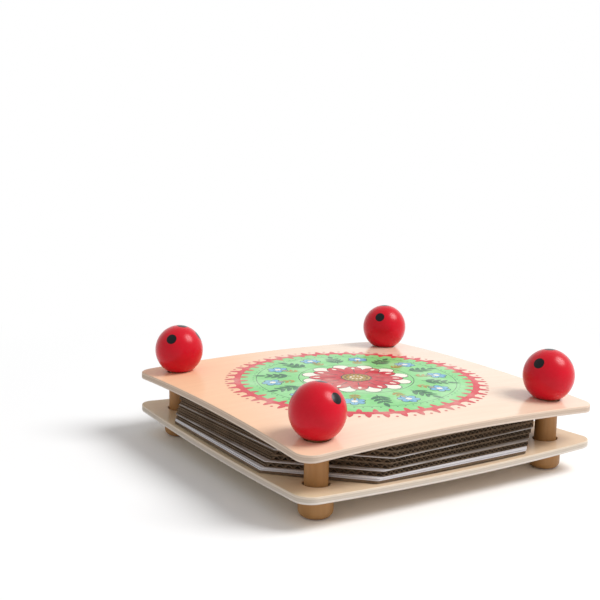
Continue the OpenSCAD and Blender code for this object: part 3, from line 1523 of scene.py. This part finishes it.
    def sprig(self, length: float, leaf: float, pairs: int, colour: Ink, layer: int) -> Socket:
        """Print a stem with pairs of leaves and one at its tip.

        Args:
            length: The stem's length.
            leaf: A leaf's length.
            pairs: Number of pairs.
            colour: The leaves' ink.
            layer: Number of its lowest layer.

        Returns:
            The sprig.
        """
        first, step, splay = length * 0.16, length * 0.72 / pairs, 48
        leaves = self.blade(Blade(leaf, leaf * 0.42, 0.35))
        last = self.inked(self.blade(Blade(leaf * 0.9, leaf * 0.4, 0.35)), colour, layer + 1)
        sides = [self.inked(self.along(leaves, pairs, first, step, turn), colour, layer + 1)
                 for turn in (splay, -splay)]
        stem = self.inked(self.stroke(length, length * 0.035), Ink.LINE, layer)
        return self.join(stem, *sides, self.move(last, (length * 0.86, 0, 0)))


@dataclass(frozen=True)
class Roundel:
    """Round botanical ornament printed in the middle of the upper board.

    Rings of petals, sprigs and small flowers repeat about its centre, inside a border of drops.
    """

    lift: float = 0.00003
    layer: float = 0.00002
    disc: float = 0.0635
    disc_rows: int = 22
    band: float = 0.0034
    band_overlap: float = 0.0004
    band_ripple: float = 0.0007
    drop_count: int = 48
    outer_drop: Blade = Blade(0.0062, 0.0031, 0.45, 0.0022)
    inner_drop: Blade = Blade(0.0052, 0.0028, 0.45, 0.0006)
    border_dot: float = 0.0008
    border_dot_root: float = 0.0072
    outer_line: tuple[float, float] = (0.0543, 0.0546)
    bead: float = 0.0005
    bead_count: int = 80
    bead_ring: float = 0.0562
    spray_count: int = 10
    sprig_ring: float = 0.0355
    flower_ring: float = 0.0466
    tuft_ring: float = 0.0335
    inner_line: tuple[float, float] = (0.0312, 0.0316)
    petal_count: int = 12
    cream_rim: Blade = Blade(0.0140, 0.0098, -0.25, 0.0165)
    cream_petal: Blade = Blade(0.0132, 0.0090, -0.25, 0.0168)
    red_rim: Blade = Blade(0.0192, 0.0102, -0.2, 0.0068)
    red_petal: Blade = Blade(0.0184, 0.0094, -0.2, 0.0072)
    tip_petal: Blade = Blade(0.0040, 0.0019, 0.3, 0.0198)
    vein: tuple[float, float] = (0.0084, 0.0006)
    vein_root: float = 0.0112
    eye: float = 0.0078
    eye_rim: float = 0.0007
    eye_points: int = 40
    seed: float = 0.0007
    seed_rings: tuple[tuple[int, float, Ink], ...] = ((16, 0.0060, Ink.LINE), (9, 0.0032, Ink.CREAM))

    def border(self, tree: Drawing) -> list[Socket]:
        """Print the disc and its border.

        Args:
            tree: The print's tree.

        Returns:
            The disc, the rippled band, and the drops and dots on it.
        """
        disc, drops, between = tree.size("Disc Radius"), tree.size("Border Drops"), 180 / self.drop_count
        outer, ripples = disc + tree.size("Band Width"), self.drop_count
        band = tree.washer(disc - self.band_overlap, outer, ripples, self.band_ripple, rows=3)
        return [
            tree.inked(tree.washer(0.0, disc, rows=self.disc_rows), Ink.MINT, 0),
            tree.inked(band, Ink.CORAL, 1),
            tree.petals(self.outer_drop, drops, Ink.CORAL, 2, edge=disc),
            tree.beads(self.border_dot, drops, disc + self.border_dot_root, Ink.CORAL, 2, between, 12),
            tree.petals(self.inner_drop, drops, Ink.CORAL, 2, between, 180, disc),
        ]

    def wreath(self, tree: Drawing) -> list[Socket]:
        """Print the wreath of sprigs and flowers between two lines.

        Args:
            tree: The print's tree.

        Returns:
            The lines, the beads, the sprigs, the flowers and the small tufts between the sprigs.
        """
        count, between = self.spray_count, 180 / self.spray_count
        sprig = tree.sprig(0.0165, 0.0070, 3, Ink.LEAF, 2)
        tuft = tree.sprig(0.0085, 0.0042, 2, Ink.OCHRE, 2)
        flower = tree.flower(6, 0.0050, 0.0036, 2)
        return [
            tree.inked(tree.washer(*self.outer_line), Ink.LINE, 1),
            tree.beads(self.bead, self.bead_count, self.bead_ring, Ink.LEAF, 1),
            tree.around(sprig, count, self.sprig_ring),
            tree.around(flower, count, self.flower_ring, between),
            tree.around(tuft, count, self.tuft_ring, between),
            tree.inked(tree.washer(*self.inner_line), Ink.LINE, 1),
        ]

    def rosette(self, tree: Drawing) -> list[Socket]:
        """Print the two rings of petals and the eye in the middle.

        Args:
            tree: The print's tree.

        Returns:
            The cream petals, the red ones and the eye, each over its outline.
        """
        count, between = self.petal_count, 180 / self.petal_count
        veins = tree.around(tree.stroke(*self.vein), count, self.vein_root)
        return [
            tree.petals(self.cream_rim, count, Ink.LINE, 2, between),
            tree.petals(self.cream_petal, count, Ink.CREAM, 3, between),
            tree.petals(self.red_rim, count, Ink.LINE, 4),
            tree.petals(self.red_petal, count, Ink.RED, 5),
            tree.inked(veins, Ink.LINE, 6),
            tree.petals(self.tip_petal, count, Ink.CREAM, 6),
            tree.inked(tree.spot(self.eye + self.eye_rim, self.eye_points), Ink.LINE, 7),
            tree.inked(tree.spot(self.eye, self.eye_points), Ink.OCHRE, 8),
        ] + [tree.beads(self.seed, *ring, 9) for ring in self.seed_rings]

    def recipe(self, board: Board, material: Material) -> Drawing:
        """Make the tree that draws the ornament and lays it on a board.

        Args:
            board: The board, whose middle stands up.
            material: The print's finish.

        Returns:
            The tree.
        """
        tree = Drawing("roundel", {
            "Disc Radius": self.disc, "Band Width": self.band, "Border Drops": self.drop_count,
            "Dome Radius": board.hollow_radius + board.thickness,
            "Pole Height": board.hollow_pole + board.thickness, "Lift": self.lift}, self.layer)
        parts = self.border(tree) + self.wreath(tree) + self.rosette(tree)
        drawing = tree.give("GeometryNodeRealizeInstances", None, {0: tree.join(*parts)})
        x, y, z = tree.here()
        dome = tree.size("Dome Radius")
        fall = dome - (dome * dome - x * x - y * y).root()
        laid = tree.place_at(drawing, x, y, z + tree.size("Pole Height") + tree.size("Lift") - fall)
        tree.close(tree.give("GeometryNodeSetShadeSmooth", None, {"Geometry": laid}), material)
        return tree

    def build(self, board: Board, material: Material) -> Piece:
        """Make the print.

        Args:
            board: The upper board, on which it lies.
            material: Its finish.

        Returns:
            The piece.
        """
        piece = self.recipe(board, material).make("top_board_print", {"Disc Radius": self.disc})
        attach(piece, "top_board")
        log.info("%s: %d faces", piece.name, len(piece.data.polygons))
        return piece


# Studio


@dataclass(frozen=True)
class Studio:
    """Plain pale floor, soft daylight from the right and the camera."""

    camera_at: Point = (-0.3221, -0.4530, 0.1790)
    camera_yaw: float = 32.17
    camera_pitch: float = 9.82
    camera_roll: float = 1.04
    focal_pixels: float = 1044.9
    image_pixels: float = 600.0
    sensor: float = 36.0
    lamp_towards: Point = (0.507, -0.384, 0.772)
    lamp_aim: Point = (0.0, 0.0, 0.04)
    lamp_distance: float = 2.6
    lamp_size: float = 1.4
    lamp_power: float = 59.0
    white: Colour = (1.0, 1.0, 1.0, 1.0)
    sky: float = 0.5
    floor_pale: Colour = ink(250, 250, 250)
    floor_grit: Colour = ink(240, 240, 240)
    floor_radius: float = 6.0
    floor_steps: int = 64
    shadow_reach: float = 0.16
    white_from: float = 0.42

    def camera(self) -> None:
        """Set the camera."""
        yaw, pitch = math.radians(self.camera_yaw), math.radians(self.camera_pitch)
        roll = math.radians(self.camera_roll)
        level = math.cos(pitch)
        ahead = Vector((level * math.sin(yaw), level * math.cos(yaw), -math.sin(pitch)))
        right = ahead.cross(Vector((0, 0, 1))).normalized()
        up = right.cross(ahead)
        across = right * math.cos(roll) + up * math.sin(roll)
        upright = up * math.cos(roll) - right * math.sin(roll)
        data = bpy.data.cameras.new("camera")
        data.sensor_width = self.sensor
        data.lens = self.focal_pixels / self.image_pixels * self.sensor
        data.clip_start = 0.01
        camera = bpy.data.objects.new("camera", data)
        bpy.context.scene.collection.objects.link(camera)
        turn = Matrix((across, upright, -ahead)).transposed().to_4x4()
        camera.matrix_world = Matrix.Translation(self.camera_at) @ turn
        bpy.context.scene.camera = camera

    def lamp(self) -> None:
        """Hang the soft lamp."""
        data = bpy.data.lights.new("key", "AREA")
        data.shape = "DISK"
        data.size = self.lamp_size
        data.energy = self.lamp_power
        lamp = bpy.data.objects.new("key", data)
        bpy.context.scene.collection.objects.link(lamp)
        towards = Vector(self.lamp_towards).normalized()
        lamp.location = towards * self.lamp_distance + Vector(self.lamp_aim)
        lamp.rotation_euler = towards.to_track_quat("Z", "Y").to_euler()

    def world(self) -> None:
        """Fill the room with even light, white wherever it is seen or mirrored."""
        world = bpy.data.worlds.new("room")
        world.use_nodes = True
        bpy.context.scene.world = world
        tree = Tree(world.node_tree)
        strength = self.sky + tree.seen() * (1 - self.sky)
        light = tree.give("ShaderNodeBackground", None, {"Color": self.white, "Strength": strength})
        tree.add("ShaderNodeOutputWorld", None, {"Surface": light})

    def floor(self) -> None:
        """Lay the floor, which shows the shadow near the press and is plain white further off."""
        tree = Shader("studio_floor")
        x, y, _ = tree.split(tree.place)
        far = (x * x + y * y).root().ease(self.shadow_reach, self.white_from)
        shade = tree.mix(tree.noise(tree.place, 40, 2) * 0.03, self.floor_pale, self.floor_grit)
        matt = tree.give("ShaderNodeBsdfPrincipled", None, {"Base Color": shade, "Roughness": 0.85})
        glow = tree.give("ShaderNodeEmission", None, {"Color": self.white, "Strength": 1.0})
        mixed = tree.give("ShaderNodeMixShader", None, {0: far * tree.seen(), 1: matt, 2: glow})
        tree.add("ShaderNodeOutputMaterial", None, {"Surface": mixed})
        ring = arc((0.0, 0.0), self.floor_radius, 0, 360, self.floor_steps)[:-1]
        points = [(across, along, 0.0) for across, along in ring]
        floor = plain_piece("floor", points, [range(len(ring))], tree.material)

    def set_up(self) -> None:
        """Set the camera, the lamp, the room and the floor."""
        scene = bpy.context.scene
        scene.view_settings.view_transform = "Standard"
        self.camera()
        self.lamp()
        self.world()
        self.floor()
        log.info("studio: camera, lamp, room and floor")


@dataclass(frozen=True)
class FlowerPress:
    """The whole press."""

    lower: Board = Board("bottom_board", "base", Bow.DOWN, rise=0.0042)
    upper: Board = Board("top_board", "top_board", Bow.UP, rise=0.0052)
    # Painted shade and light: the lower board is a darker, greyer copy of the upper one's finish. Its
    # face stands in for the shade under the stack and upper board, and its lighter edges stand in for
    # light bounced up from the floor.
    lower_ply_painted_shade: LacqueredPly = LacqueredPly(
        "lacquered_ply_lower_painted_shade", rosy=ink(224, 205, 173), pale=ink(220, 194, 165),
        grain=ink(206, 176, 142), edge_domed=ink(220, 212, 205), edge_hollow=ink(222, 205, 184),
        edge_dark=ink(188, 175, 160), glue=ink(150, 138, 123), thin_coat=0.25, thick_coat=0.35)
    upper_ply: LacqueredPly = LacqueredPly("lacquered_ply_upper")
    corners: tuple[Corner, ...] = (
        Corner("front", -BOLT_OFFSET, -BOLT_OFFSET, (80.0, 18.0), (-72.0, 36.0, 143.0)),
        Corner("right", BOLT_OFFSET, -BOLT_OFFSET, (86.0, 58.0), (-165.0, -35.0, 85.0)),
        Corner("back", BOLT_OFFSET, BOLT_OFFSET, (85.0, 58.0), (-143.0, -23.0, 97.0)),
        Corner("left", -BOLT_OFFSET, BOLT_OFFSET, (83.0, -32.0), (-139.0, -27.0, 94.0)),
    )
    nut: BallNut = BallNut()
    stack: Stack = Stack()
    roundel: Roundel = Roundel()

    def build(self) -> None:
        """Make and dress every piece."""
        bolt = Bolt(thread_start=self.upper.hollow_height(BOLT_OFFSET, BOLT_OFFSET))
        rod = TurnedWood().material()
        self.lower.build(self.lower_ply_painted_shade.material())
        for corner in self.corners:
            bolt.build(corner, rod)
        card = CorrugatedBoard().material()
        paper = BlottingPaper().material()
        self.stack.build({Stock.WAVED: card, Stock.PLAIN: card, Stock.PAPER: paper})
        self.upper.build(self.upper_ply.material())
        self.roundel.build(self.upper, PrintedInk().material())
        for corner in self.corners:
            self.nut.build(corner, BallLacquer())


def main() -> None:
    """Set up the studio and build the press."""
    logging.basicConfig(level=logging.INFO, format="%(name)s: %(message)s")
    Studio().set_up()
    FlowerPress().build()


if __name__ == "__main__":
    main()
